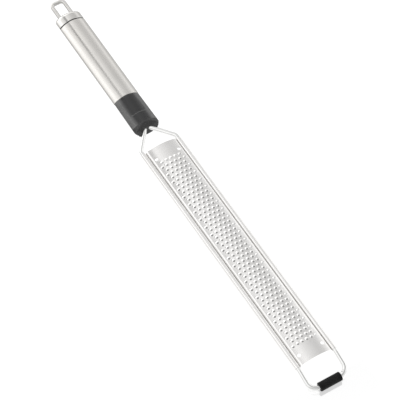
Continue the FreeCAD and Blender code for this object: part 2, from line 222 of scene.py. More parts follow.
def tube_along(line: np.ndarray, radius: float, sides: int) -> tuple[np.ndarray, list[list[int]]]:
    """Round bar carried along a line, with both ends closed by a point.

    Every ring is the radius times the cosine and sine of the side angle, along two axes
    square to the line: one as near as can be to the vertical, one across.

    Args:
        line: Points of the centre line in mm.
        radius: Radius of the bar in mm.
        sides: Number of points in a ring.

    Returns:
        Points in mm and faces.
    """
    tangent = np.gradient(line, axis=0)
    tangent /= np.linalg.norm(tangent, axis=1, keepdims=True)
    across = np.cross(np.array([0.0, 0.0, 1.0]), tangent)
    across /= np.linalg.norm(across, axis=1, keepdims=True)
    up = np.cross(tangent, across)
    turn = np.linspace(0, 2 * math.pi, sides, endpoint=False)
    ring = across[:, None] * np.cos(turn)[None, :, None] + up[:, None] * np.sin(turn)[None, :, None]
    points = line[:, None] + ring * radius
    return closed_run(points, line[0], line[-1])


# Shader helpers


class Sock:
    """A shader socket that can be used in Python sums, with numbers or other sockets."""

    def __init__(self, graph: "Graph", socket: bpy.types.NodeSocket) -> None:
        """Wrap one output socket of a graph."""
        self.graph = graph
        self.socket = socket

    def _math(self, operation: str, other: Any, swap: bool = False) -> "Sock":
        """Add one Math node that joins this socket and another value."""
        pair = (other, self) if swap else (self, other)
        return self.graph.add("ShaderNodeMath", {"operation": operation}, {0: pair[0], 1: pair[1]})

    def __add__(self, other: Any) -> "Sock":
        """Sum."""
        return self._math("ADD", other)

    __radd__ = __add__

    def __mul__(self, other: Any) -> "Sock":
        """Product."""
        return self._math("MULTIPLY", other)

    __rmul__ = __mul__

    def __sub__(self, other: Any) -> "Sock":
        """Difference."""
        return self._math("SUBTRACT", other)

    def __rsub__(self, other: Any) -> "Sock":
        """Difference from a number."""
        return self._math("SUBTRACT", other, swap=True)

    def __truediv__(self, other: Any) -> "Sock":
        """Quotient."""
        return self._math("DIVIDE", other)

    def __rtruediv__(self, other: Any) -> "Sock":
        """Quotient of a number."""
        return self._math("DIVIDE", other, swap=True)

    def high(self, other: Any) -> "Sock":
        """The larger of two values."""
        return self._math("MAXIMUM", other)


class Graph:
    """Node tree of one material or of the world, built by one node-making method."""

    def __init__(self, tree: bpy.types.NodeTree) -> None:
        """Empty the tree and keep it."""
        self.tree = tree
        tree.nodes.clear()

    def add(self, kind: str, settings: dict[str, Any], inputs: dict[Any, Any], out: Any = 0) -> Sock:
        """Add a node, set it up and link or set its sockets.

        Args:
            kind: Type of the node.
            settings: Properties to set first; "stops" holds a ramp's positions and greys.
            inputs: Value or Sock for each input, by name or number.
            out: Output to hand back, by name or number.

        Returns:
            The wrapped output socket.
        """
        node = self.tree.nodes.new(kind)
        for key, value in settings.items():
            if key == "stops":
                self._ramp(node.color_ramp, value)
            else:
                setattr(node, key, value)
        for key, value in inputs.items():
            if isinstance(value, Sock):
                self.tree.links.new(value.socket, node.inputs[key])
            else:
                node.inputs[key].default_value = value
        return Sock(self, node.outputs[out] if len(node.outputs) else None)

    @staticmethod
    def _ramp(ramp: bpy.types.ColorRamp, stops: Sequence[tuple[float, float]]) -> None:
        """Fill a ramp with grey stops.

        Args:
            ramp: Ramp to fill.
            stops: Pairs of position and grey, in order of position.
        """
        while len(ramp.elements) > 1:
            ramp.elements.remove(ramp.elements[-1])
        ramp.elements[0].position = stops[0][0]
        ramp.elements[0].color = (stops[0][1],) * 3 + (1,)
        for position, grey in stops[1:]:
            ramp.elements.new(position).color = (grey,) * 3 + (1,)

    def split(self, vector: Sock) -> list[Sock]:
        """The three parts of a vector."""
        parts = self.add("ShaderNodeSeparateXYZ", {}, {0: vector}).socket.node.outputs
        return [Sock(self, part) for part in parts]

    def coords(self) -> Sock:
        """Object coordinates, in metres in the row frame."""
        return self.add("ShaderNodeTexCoord", {}, {}, "Object")

    def scaled(self, factors: tuple[float, float, float]) -> Sock:
        """Object coordinates multiplied axis by axis."""
        return self.add("ShaderNodeVectorMath", {"operation": "MULTIPLY"}, {0: self.coords(), 1: factors})

    def noise(self, factors: tuple[float, float, float], detail: float = 2.0) -> Sock:
        """Fractal noise from 0 to 1 on coordinates stretched by the factors."""
        inputs = {"Vector": self.scaled(factors), "Scale": 1.0, "Detail": detail}
        return self.add("ShaderNodeTexNoise", {}, inputs, 0)

    def blend(self, factor: Sock, low: Sock | Sequence[float], high: Sock | Sequence[float]) -> Sock:
        """Colour that goes from low to high with a factor from 0 to 1."""
        first, last = (end if isinstance(end, Sock) else (*end, 1.0) for end in (low, high))
        return self.add("ShaderNodeMix", {"data_type": "RGBA"}, {"Factor": factor, 6: first, 7: last}, 2)

    def clip(self, value: Sock, low: float, high: float) -> Sock:
        """Value mapped from between two limits on to 0 to 1 and held there."""
        return self.add("ShaderNodeMapRange", {"clamp": True},
                        {"Value": value, "From Min": low, "From Max": high}, 0)

    def size(self, value: Sock) -> Sock:
        """Value without its sign."""
        return self.add("ShaderNodeMath", {"operation": "ABSOLUTE"}, {0: value})

    def band(self, value: Sock, stops: Sequence[float]) -> Sock:
        """Mask that rises between the first two stops and falls between the last two."""
        return self.clip(value, stops[0], stops[1]) * self.clip(value, stops[3], stops[2])

    def bump(self, height: Sock, strength: float, distance: float) -> Sock:
        """Normal disturbed by a height in metres times distance."""
        return self.add("ShaderNodeBump", {}, {"Strength": strength, "Distance": distance, "Height": height})

    def light_path(self, kind: str) -> Sock:
        """1 for rays of one kind, such as Is Camera Ray, and 0 for others."""
        return self.add("ShaderNodeLightPath", {}, {}, kind)

    def glow(self, strength: float) -> Sock:
        """White light given off by a surface."""
        return self.add("ShaderNodeEmission", {}, {"Color": (1, 1, 1, 1), "Strength": strength})

    def matt(self, grey: float) -> Sock:
        """Matt grey shader."""
        return self.add("ShaderNodeBsdfDiffuse", {}, {"Color": (grey, grey, grey, 1)})

    def mix(self, factor: Sock, first: Sock, last: Sock) -> Sock:
        """Shader that goes from the first to the last with a factor from 0 to 1."""
        return self.add("ShaderNodeMixShader", {}, {0: factor, 1: first, 2: last})

    def surface(self, shader: Sock) -> None:
        """Link a shader to the output."""
        self.add("ShaderNodeOutputMaterial", {}, {"Surface": shader})


def new_material(name: str) -> tuple[bpy.types.Material, Graph]:
    """Start an empty node material.

    Args:
        name: Name of the material.

    Returns:
        The material and its node tree.
    """
    material = bpy.data.materials.new(name)
    material.use_nodes = True
    return material, Graph(material.node_tree)


class Grain(Enum):
    """Direction of the fine lines that polishing leaves on steel; values stretch the noise."""

    LENGTHWISE = (90.0, 2600.0, 2600.0)
    CROSSWISE = (2600.0, 90.0, 260.0)
    EVEN = (700.0, 700.0, 700.0)


@dataclass(frozen=True)
class Steel:
    """Stainless steel with faint polishing lines, slight clouding and small handling marks.

    Attributes:
        name: Name of the material.
        light: Colour of the cleanest places.
        dull: Colour of the clouded places.
        rough: Lowest and highest roughness.
        grain: Direction of the polishing lines.
        depth: Depth of the lines in metres.
        cloud_scale: Clouds to the metre.
        cloud_share: Share of the clouds in the colour; the lines have the rest.
        cloud_span: Noise values between which the colour goes from dull to light.
        line_span: Noise values between which the lines go from rough to smooth.
        line_share: Share of the lines in the roughness; the clouds have the rest.
        relief: Strength of the lines in the bump.
    """

    name: str
    light: tuple[float, float, float]
    dull: tuple[float, float, float]
    rough: tuple[float, float]
    grain: Grain
    depth: float
    cloud_scale: float = 60.0
    cloud_share: float = 0.65
    cloud_span: tuple[float, float] = (0.32, 0.68)
    line_span: tuple[float, float] = (0.3, 0.7)
    line_share: float = 0.4
    relief: float = 0.6

    def build(self) -> bpy.types.Material:
        """Build the node material: a blend of lines and clouds sets its colour and roughness.

        Returns:
            The material.
        """
        material, graph = new_material(self.name)
        lines = graph.noise(self.grain.value, 3.0)
        clouds = graph.noise((self.cloud_scale,) * 3, 3.0)
        mixed = graph.clip(lines * (1 - self.cloud_share) + clouds * self.cloud_share, *self.cloud_span)
        colour = graph.blend(mixed, self.dull, self.light)
        span = self.rough[1] - self.rough[0]
        smooth = graph.clip(lines, *self.line_span) * (span * self.line_share)
        rough = self.rough[1] - mixed * (span * (1 - self.line_share)) - smooth
        normal = graph.bump(lines, self.relief, self.depth)
        shader = graph.add("ShaderNodeBsdfPrincipled", {}, {
            "Base Color": colour, "Metallic": 1.0, "Roughness": rough, "Normal": normal})
        graph.surface(shader)
        return material


@dataclass(frozen=True)
class MouldedPlastic:
    """Black plastic or rubber with a fine moulded grain, slight wear in its gloss, and a painted sheen that
    can lighten its flanks.

    Attributes:
        name: Name of the material.
        dark: Base colour.
        worn: Colour of the worn places.
        rough: Lowest and highest roughness.
        pitch: Size of the grain in metres.
        depth: Height of the grain in metres.
        gloss: Specular level.
        coarse_from: Place along X in metres past which the skin is coarse and matt, if any.
        sheen_and_speck_grey: Lightness of the painted sheen on the flanks, and of the grains of the coarse
            skin.
        sheen_and_speck_blue: Blue of that light colour against its red and green.
        broad_scale: Broad clouds of wear to the metre.
        fine_share: Share of the fine grain in the wear; the broad clouds have the rest.
        wear_span: Noise values between which the skin goes from dark to worn.
        coarse_edge: Length over which the coarse skin begins in metres.
        coarse_height: How many times higher the coarse skin's grain is than the fine one's.
        coarse_matt: Roughness that the coarse skin has more.
        painted_sheen_span: Distances from the middle in metres between which the painted sheen on the flanks
            begins.
        painted_sheen_share: Share of the light colour that the painted sheen gives the flanks, and what wear
            adds to it.
        speck_span: Noise values between which a grain of the coarse skin goes to light.
        speck_share: Share of the light colour in those grains.
        relief: Strength of the grain in the bump.
    """

    name: str
    dark: tuple[float, float, float]
    worn: tuple[float, float, float]
    rough: tuple[float, float]
    pitch: float
    depth: float
    gloss: float
    coarse_from: float = 1.0
    sheen_and_speck_grey: float = 0.0
    sheen_and_speck_blue: float = 0.99
    broad_scale: float = 120.0
    fine_share: float = 0.6
    wear_span: tuple[float, float] = (0.42, 0.68)
    coarse_edge: float = 0.0004
    coarse_height: float = 6.0
    coarse_matt: float = 0.18
    painted_sheen_span: tuple[float, float] = (0.0050, 0.0080)
    painted_sheen_share: tuple[float, float] = (0.6, 0.8)
    speck_span: tuple[float, float] = (0.45, 0.60)
    speck_share: float = 0.22
    relief: float = 0.7

    def build(self) -> bpy.types.Material:
        """Build the node material: wear lightens the skin, painted sheen lightens the flanks more where worn,
        and the coarse skin has light grains.

        Returns:
            The material.
        """
        material, graph = new_material(self.name)
        fine = graph.noise((1 / self.pitch,) * 3, 2.0)
        broad = graph.noise((self.broad_scale,) * 3, 2.0)
        wear = graph.clip(fine * self.fine_share + broad * (1 - self.fine_share), *self.wear_span)
        x, y, _ = graph.split(graph.coords())
        coarse = graph.clip(x, self.coarse_from, self.coarse_from + self.coarse_edge)
        # Painted sheen: away from the middle the base colour is lightened on both flanks as a stand-in for a
        # highlight; the wear noise varies it.
        share = self.painted_sheen_share[0] + wear * self.painted_sheen_share[1]
        flank = graph.clip(graph.size(y), *self.painted_sheen_span) * (1.0 - coarse) * share
        specks = coarse * graph.clip(fine, *self.speck_span) * self.speck_share
        skin = graph.blend(wear, self.dark, self.worn)
        light = (self.sheen_and_speck_grey, self.sheen_and_speck_grey, self.sheen_and_speck_grey * self.sheen_and_speck_blue)
        sheen = self.rough[1] - wear * (self.rough[1] - self.rough[0])
        height = fine * (coarse * (self.coarse_height - 1.0) + 1.0)
        shader = graph.add("ShaderNodeBsdfPrincipled", {}, {
            "Base Color": graph.blend(flank + specks, skin, light),
            "Roughness": sheen + coarse * self.coarse_matt,
            "Specular IOR Level": self.gloss,
            "Normal": graph.bump(height, self.relief, self.depth)})
        graph.surface(shader)
        return material


HANDLE_STEEL = Steel(
    name="satin_handle_steel", light=(0.73, 0.71, 0.68), dull=(0.67, 0.655, 0.63),
    rough=(0.17, 0.26), grain=Grain.LENGTHWISE, depth=4e-6)
CAP_STEEL = Steel(
    name="satin_cap_steel", light=(0.73, 0.715, 0.69), dull=(0.67, 0.66, 0.64),
    rough=(0.14, 0.22), grain=Grain.EVEN, depth=3e-6)
WIRE_STEEL = Steel(
    name="drawn_wire_steel", light=(0.84, 0.84, 0.83), dull=(0.76, 0.76, 0.75),
    rough=(0.07, 0.14), grain=Grain.EVEN, depth=2e-6)
SHEET_STEEL = Steel(
    name="bright_sheet_steel", light=(0.86, 0.85, 0.84), dull=(0.80, 0.79, 0.775),
    rough=(0.17, 0.26), grain=Grain.CROSSWISE, depth=3e-6)
# The front piece has painted sheen on its flanks and light grains on its coarse nose.
FRONT_PIECE_PLASTIC = MouldedPlastic(
    name="front_piece_black", dark=(0.003, 0.003, 0.0035), worn=(0.007, 0.007, 0.008),
    rough=(0.26, 0.36), pitch=0.0006, depth=3e-5, gloss=0.68, coarse_from=-0.0605, sheen_and_speck_grey=0.12)
FOOT_RUBBER = MouldedPlastic(
    name="foot_black_rubber", dark=(0.003, 0.003, 0.003), worn=(0.009, 0.009, 0.009),
    rough=(0.42, 0.55), pitch=0.0007, depth=4e-5, gloss=0.18)
RING_RUBBER = MouldedPlastic(
    name="seal_ring_black", dark=(0.012, 0.012, 0.013), worn=(0.02, 0.02, 0.021),
    rough=(0.45, 0.6), pitch=0.0005, depth=2e-5, gloss=0.3)


def dress(piece: bpy.types.Object, material: bpy.types.Material) -> None:
    """Give every material slot of a piece one material.

    Args:
        piece: The piece.
        material: The material.
    """
    if not piece.data.materials:
        piece.data.materials.append(material)
    for number in range(len(piece.data.materials)):
        piece.data.materials[number] = material


def finish_piece(piece: bpy.types.Object, material: bpy.types.Material) -> None:
    """Dress a new piece and report it.

    Args:
        piece: The new piece.
        material: Its material.
    """
    dress(piece, material)
    LOG.info("built %s with %d faces", piece.name, len(piece.data.polygons))


# The grater's sub-assemblies


@dataclass
class Handle:
    """Oval tube, end cap with hanging loop, black ring and black front piece.

    Attributes:
        axis: Height of the handle's axis over the floor in mm.
        section: Oval of the tube's outside.
        wall: Wall of the tube in mm.
        cap_end: Station where the cap's barrel ends.
        tube_start: Station where the tube starts.
        tube_end: Station where the tube ends.
        chamfer: Chamfer of the rims in mm.
        plug: Length of the cap's plug inside the tube in mm.
        shoulder: Station where the cap's shoulders begin.
        plan_corner: Radius of the shoulders seen from above in mm.
        side_corner: Radius of the shoulders seen from the side in mm.
        shoulder_rings: Number of rings over the shoulders.
        plug_play: Gap between the plug and the bore in mm.
        loop_bar: Width of the loop's bar seen from above in mm.
        loop_thick: Its thickness in mm.
        loop_half_width: Half of the loop's width in mm.
        loop_root: Station where the loop ends inside the shoulders.
        loop_bend: Bend radius of the bar's middle line at its corners in mm.
        loop_square: Power that makes the bar's section a rounded square; 1 would be an ellipse.
        loop_sides: Number of points round the bar.
        around: Number of points in a ring.
    """

    axis: float = 5.5
    section: Oval = Oval(10.75, 5.5, 1.8)
    wall: float = 0.8
    cap_end: float = 25.7
    tube_start: float = 26.6
    tube_end: float = 111.5
    chamfer: float = 0.2
    plug: float = 9.0
    shoulder: float = 16.7
    plan_corner: float = 3.5
    side_corner: float = 3.4
    shoulder_rings: int = 14
    plug_play: float = 0.05
    loop_bar: float = 2.8
    loop_thick: float = 3.0
    loop_half_width: float = 6.7
    loop_root: float = 18.6
    loop_bend: float = 2.9
    loop_square: float = 0.62
    loop_sides: int = 32
    around: int = 200

    def ring(self, x: float, inset: float, shape: Oval | None = None) -> np.ndarray:
        """One oval ring of points at a station, drawn in by an inset.

        Args:
            x: Station of the ring in mm.
            inset: Distance that the oval is drawn in by in mm.
            shape: Oval to use in place of the tube's section.

        Returns:
            Points in mm.
        """
        oval = shape or self.section
        drawn = Oval(oval.width - inset, oval.height - inset, oval.side - inset)
        outline = drawn.outline(self.around)
        return np.column_stack([np.full(self.around, x), outline[:, 0], outline[:, 1] + self.axis])

    def tube(self) -> None:
        """Hollow tube: its outside, both chamfers and its bore as one closed band of rings."""
        c, start, end = self.chamfer, self.tube_start, self.tube_end
        stops = [(start, c), (start + c, 0.0), (end - c, 0.0), (end, c), (end, self.wall), (start, self.wall)]
        rings = np.stack([self.ring(x, inset) for x, inset in stops])
        quads = grid_quads(len(stops), self.around, True, True)
        piece = new_piece("handle_tube_skin", place(rings), quads[:, ::-1].tolist())
        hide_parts("handle_tube")
        finish_piece(piece, HANDLE_STEEL.build())

    def shoulder_ring(self, turn: float) -> np.ndarray:
        """Ring of the domed shoulder, turn running from 0 at its flat end to a right angle.

        The station is the plan corner times one minus the cosine of the turn. Both half
        widths lack their corner radius times one minus the root of one minus the square of
        the share of that corner still to go.

        Args:
            turn: Angle in radians.

        Returns:
            Points in mm.
        """
        x = self.plan_corner * (1 - math.cos(turn))
        left = [max(0.0, 1 - x / corner) for corner in (self.plan_corner, self.side_corner)]
        lack = [1 - math.sqrt(1 - share * share) for share in left]
        wide = self.section.width - self.plan_corner * lack[0]
        high = self.section.height - self.side_corner * lack[1]
        shape = Oval(wide, high, high * self.section.side / self.section.height)
        return self.ring(self.shoulder + x, 0.0, shape)

    def cap_body(self) -> tuple[np.ndarray, list[list[int]]]:
        """Shoulders, barrel and plug as one run of rings with a centre point at each end.

        Returns:
            Points in mm and faces.
        """
        c, end, plug_end = self.chamfer, self.cap_end, self.tube_start + self.plug
        rings = [self.shoulder_ring(turn) for turn in np.linspace(0, math.pi / 2, self.shoulder_rings)]
        inner = self.wall + self.plug_play
        for x, inset in ((end - c, 0.0), (end, c), (end, inner), (plug_end, inner)):
            rings.append(self.ring(x, inset))
        return closed_run(np.stack(rings), [self.shoulder, 0, self.axis], [plug_end, 0, self.axis])

    def loop(self) -> tuple[np.ndarray, np.ndarray]:
        """Hanging loop: a bar of rounded square section carried round a rounded oblong.

        The oblong lies half a bar inside the outline; the section is a superellipse whose
        half width and half height multiply the cosine and sine taken to the given power.

        Returns:
            Points in mm and quads.
        """
        first, last, half = self.loop_bar / 2, self.loop_root, self.loop_half_width - self.loop_bar / 2
        corners = np.array([[last, 0, 0], [last, half, 0], [first, half, 0],
                            [first, -half, 0], [last, -half, 0], [last, 0, 0]])
        line = rounded_run(corners, [self.loop_bend] * 4, 9.0)[:-1]
        ahead = np.roll(line, -1, axis=0) - np.roll(line, 1, axis=0)
        ahead /= np.linalg.norm(ahead, axis=1, keepdims=True)
        outward = np.cross(ahead, np.array([0.0, 0.0, 1.0]))
        turn = np.linspace(0, 2 * math.pi, self.loop_sides, endpoint=False)
        a, b = (np.sign(part) * np.abs(part) ** self.loop_square for part in (np.cos(turn), np.sin(turn)))
        points = line[:, None] + outward[:, None] * (a * self.loop_bar / 2)[None, :, None]
        points[..., 2] += (b * self.loop_thick / 2)[None, :] + self.axis
        return points.reshape(-1, 3), grid_quads(len(line), len(turn), True, True)

    def cap(self) -> None:
        """End cap: loop and body in one mesh."""
        body, body_faces = self.cap_body()
        loop, loop_faces = self.loop()
        faces = body_faces + (loop_faces[:, ::-1] + len(body)).tolist()
        piece = new_piece("end_cap_skin", place(np.concatenate([body, loop])), faces)
        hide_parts("end_cap")
        finish_piece(piece, CAP_STEEL.build())

    def build(self, nodes: dict[str, bpy.types.Object]) -> None:
        """Build the steel skins and dress the black ring of the CAD model.

        Args:
            nodes: Objects of the CAD model by name.
        """
        self.tube()
        self.cap()
        dress(nodes["seal_ring"], RING_RUBBER.build())
        LOG.info("dressed %s", nodes["seal_ring"].name)


@dataclass
class FrontPiece:
    """Black front piece of the handle, with a shallow thumb recess and a rounded nose.

    Attributes:
        start: Station of the joint with the tube in mm.
        end: Station of the nose in mm.
        section: Oval of the full section.
        axis: Height of its axis over the floor in mm.
        joint_scale: Size of the section at the joint against the full one.
        taper: Length over which the section grows in mm.
        top_length: Length of the flat top from the joint in mm.
        brow: Radius of the brow above the nose in mm.
        lean: How far the nose's face leans back in mm.
        face_drop: Height of the brow's round in mm.
        foot_height: Height of the face's lower edge in mm.
        plan_corner: Radius of the nose's corners seen from above in mm.
        recess: Start, end, depth and half width of the thumb recess, from the joint in mm.
        step: Length of the rounded step that ends the recess in mm.
        fade: Width over which the recess fades at its sides in mm.
        joint_gap: Share by which the first ring is smaller, which leaves a fine line at the joint.
        around: Number of points in a ring.
    """

    start: float = 111.5
    end: float = 145.0
    section: Oval = Oval(10.8, 5.5, 1.8)
    axis: float = 5.5
    joint_scale: float = 0.97
    taper: float = 27.5
    top_length: float = 27.8
    brow: float = 4.7
    lean: float = 1.16
    face_drop: float = 3.48
    foot_height: float = 0.6
    plan_corner: float = 4.0
    recess: tuple[float, float, float, float] = (3.5, 18.2, 0.5, 6.8)
    step: float = 1.3
    fade: float = 1.2
    joint_gap: float = 0.018
    around: int = 240

    def stations(self) -> np.ndarray:
        """Stations of the rings, close together where the outline turns.

        Returns:
            Stations in mm, rising.
        """
        joint, brow, face = self.start, self.start + self.top_length, self.end - self.lean
        low = self.start + self.recess[1]
        high = low + self.step
        return np.unique(np.concatenate([
            [joint, joint + 0.2], np.linspace(joint + 1.2, low - 0.3, 14),
            np.linspace(low - 0.25, high + 0.1, 20),
            np.linspace(high + 1.0, brow, 6), brow + (face - brow) * np.sin(np.linspace(0, math.pi / 2, 14)),
            np.linspace(face, self.end, 10)]))

    def top(self, x: np.ndarray) -> np.ndarray:
        """Height of the side outline: flat, then the brow's arc, then the leaning face.

        Args:
            x: Stations in mm.

        Returns:
            Heights in mm.
        """
        brow, face = self.start + self.top_length, self.end - self.lean
        height = self.axis + self.section.height
        ahead = np.clip(x - brow, 0, self.brow)
        arc = height - self.brow + np.sqrt(self.brow ** 2 - ahead ** 2)
        share = np.clip((x - face) / self.lean, 0, 1)
        foot = (height - self.face_drop) + (self.foot_height - height + self.face_drop) * share
        return np.where(x > face, foot, np.maximum(arc, height - self.face_drop))

    def dip(self, x: np.ndarray, y: np.ndarray) -> np.ndarray:
        """Depth of the thumb recess: a slope that ends in a rounded step, fading at its sides.

        The slope is the share of the way along, the step half of one plus the cosine of its
        own share, and the sides follow the smooth step three squares less two cubes.

        Args:
            x: Stations in mm.
            y: Distances from the middle in mm.

        Returns:
            Depths in mm.
        """
        first, last, depth, half = self.recess
        along = np.clip((x - self.start - first) / (last - first), 0, 1)
        back = np.clip((x - self.start - last) / self.step, 0, 1)
        side = np.clip((half - np.abs(y)) / self.fade, 0, 1)
        return depth * along * (0.5 + 0.5 * np.cos(math.pi * back)) * side * side * (3 - 2 * side)

    def build(self) -> None:
        """Run the oval along the length, held under the side outline and inside the plan.

        Half width is the oval's, growing evenly up to the full section, and at the nose no
        more than the full width less the plan corner's quarter circle.
        """
        x = self.stations()[:, None]
        growth = self.joint_scale + (1 - self.joint_scale) * np.clip((x - self.start) / self.taper, 0, 1)
        growth = growth - self.joint_gap * (x <= self.start)
        outline = self.section.outline(self.around)
        y, z = outline[None, :, 0] * growth, outline[None, :, 1] * growth + self.axis
        left = np.clip((x - self.end + self.plan_corner) / self.plan_corner, 0, 1)
        limit = self.section.width - self.plan_corner * (1 - np.sqrt(1 - left * left))
        y = np.clip(y, -limit, limit)
        z = np.minimum(z, self.top(x)) - np.where(z > self.axis, self.dip(x, y), 0.0)
        points = np.stack([np.broadcast_to(x, y.shape), y, z], axis=-1)
        skin, faces = closed_run(points, [self.start, 0, self.axis], [self.end, 0, self.foot_height / 2])
        piece = new_piece("front_piece_skin", place(skin), faces, 40.0)
        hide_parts("front_collar")
        finish_piece(piece, FRONT_PIECE_PLASTIC.build())


@dataclass
class WireFrame:
    """One bent wire from the front piece round the foot and back.

    Attributes:
        radius: Radius of the wire in mm.
        stations: Corner points on the +Y side as x and y; heights follow from the plane.
        far_corner: Corner beside the foot as x, y and height.
        bends: Bend radius at each inner corner of one side in mm.
        plane_start: Station at which the plane of the wire has its start height.
        plane_height: Height of that plane at the start in mm.
        plane_slope: Rise of the plane per mm.
        sides: Number of points round the wire.
        arc_step: Angle between neighbouring rings in a bend in degrees.
    """

    radius: float = 1.75
    stations: tuple[tuple[float, float], ...] = ((119.0, 2.0), (143.2, 2.0), (160.1, 15.3), (379.5, 15.3))
    far_corner: tuple[float, float, float] = (396.5, 15.3, 3.5)
    bends: tuple[float, ...] = (2.6, 4.5, 9.0, 6.9)
    plane_start: float = 144.6
    plane_height: float = 5.0
    plane_slope: float = 0.0137
    sides: int = 40
    arc_step: float = 4.0

    def height(self, x: np.ndarray | float) -> np.ndarray | float:
        """Height of the wire's plane at station x: start height plus slope times distance."""
        return self.plane_height + self.plane_slope * (x - self.plane_start)

    def build(self) -> None:
        """Carry a circle along the bent line."""
        side = np.array([[x, y, self.height(x)] for x, y in self.stations] + [list(self.far_corner)])
        other = side[::-1] * np.array([1.0, -1.0, 1.0])
        line = rounded_run(np.concatenate([side, other]), self.bends + self.bends[::-1], self.arc_step)
        points, faces = tube_along(line, self.radius, self.sides)
        piece = new_piece("frame_wire_skin", place(points), faces)
        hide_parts("frame_wire")
        finish_piece(piece, WIRE_STEEL.build())


@dataclass
class Foot:
    """Black sleeve with fine ribs round it.

    Attributes:
        station: Station of its axis in mm.
        radius: Outer radius in mm, which is also the height of the axis.
        half_length: Half of its length in mm.
        bore: Radius of the bore in mm.
        ribs: Number of ribs.
        groove: Depth of the grooves between the ribs in mm.
        rim: Radius of the rounded rims in mm.
        rib_points: Number of points across a rib.
        around: Number of points round the sleeve.
    """

    station: float = 396.5
    radius: float = 3.5
    half_length: float = 8.85
    bore: float = 1.8
    ribs: int = 17
    groove: float = 0.24
    rim: float = 0.4
    rib_points: int = 8
    around: int = 64

    def build(self) -> None:
        """Turn a profile round the sleeve's axis.

        Radius is the full radius less the groove times half of one plus the cosine of the
        rib's phase, and less a quarter circle at each rim.
        """
        y = np.linspace(-self.half_length, self.half_length, self.ribs * self.rib_points + 1)
        phase = (y + self.half_length) / (2 * self.half_length) * self.ribs * 2 * math.pi
        wave = self.groove * 0.5 * (1 + np.cos(phase))
        rim = np.clip(1 - (self.half_length - np.abs(y)) / self.rim, 0, 1)
        outer = self.radius - wave - self.rim * (1 - np.sqrt(1 - rim ** 2))
        radius = np.concatenate([outer, [self.bore, self.bore]])
        across = np.concatenate([y, [self.half_length, -self.half_length]])
        turn = np.linspace(0, 2 * math.pi, self.around, endpoint=False)
        points = np.stack([self.station + radius[:, None] * np.cos(turn)[None],
                           np.broadcast_to(across[:, None], (len(across), len(turn))),
                           self.radius + radius[:, None] * np.sin(turn)[None]], axis=-1)
        quads = grid_quads(len(across), len(turn), True, True)
        piece = new_piece("foot_skin", place(points), quads.tolist(), 50.0)
        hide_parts("foot")
        finish_piece(piece, FOOT_RUBBER.build())


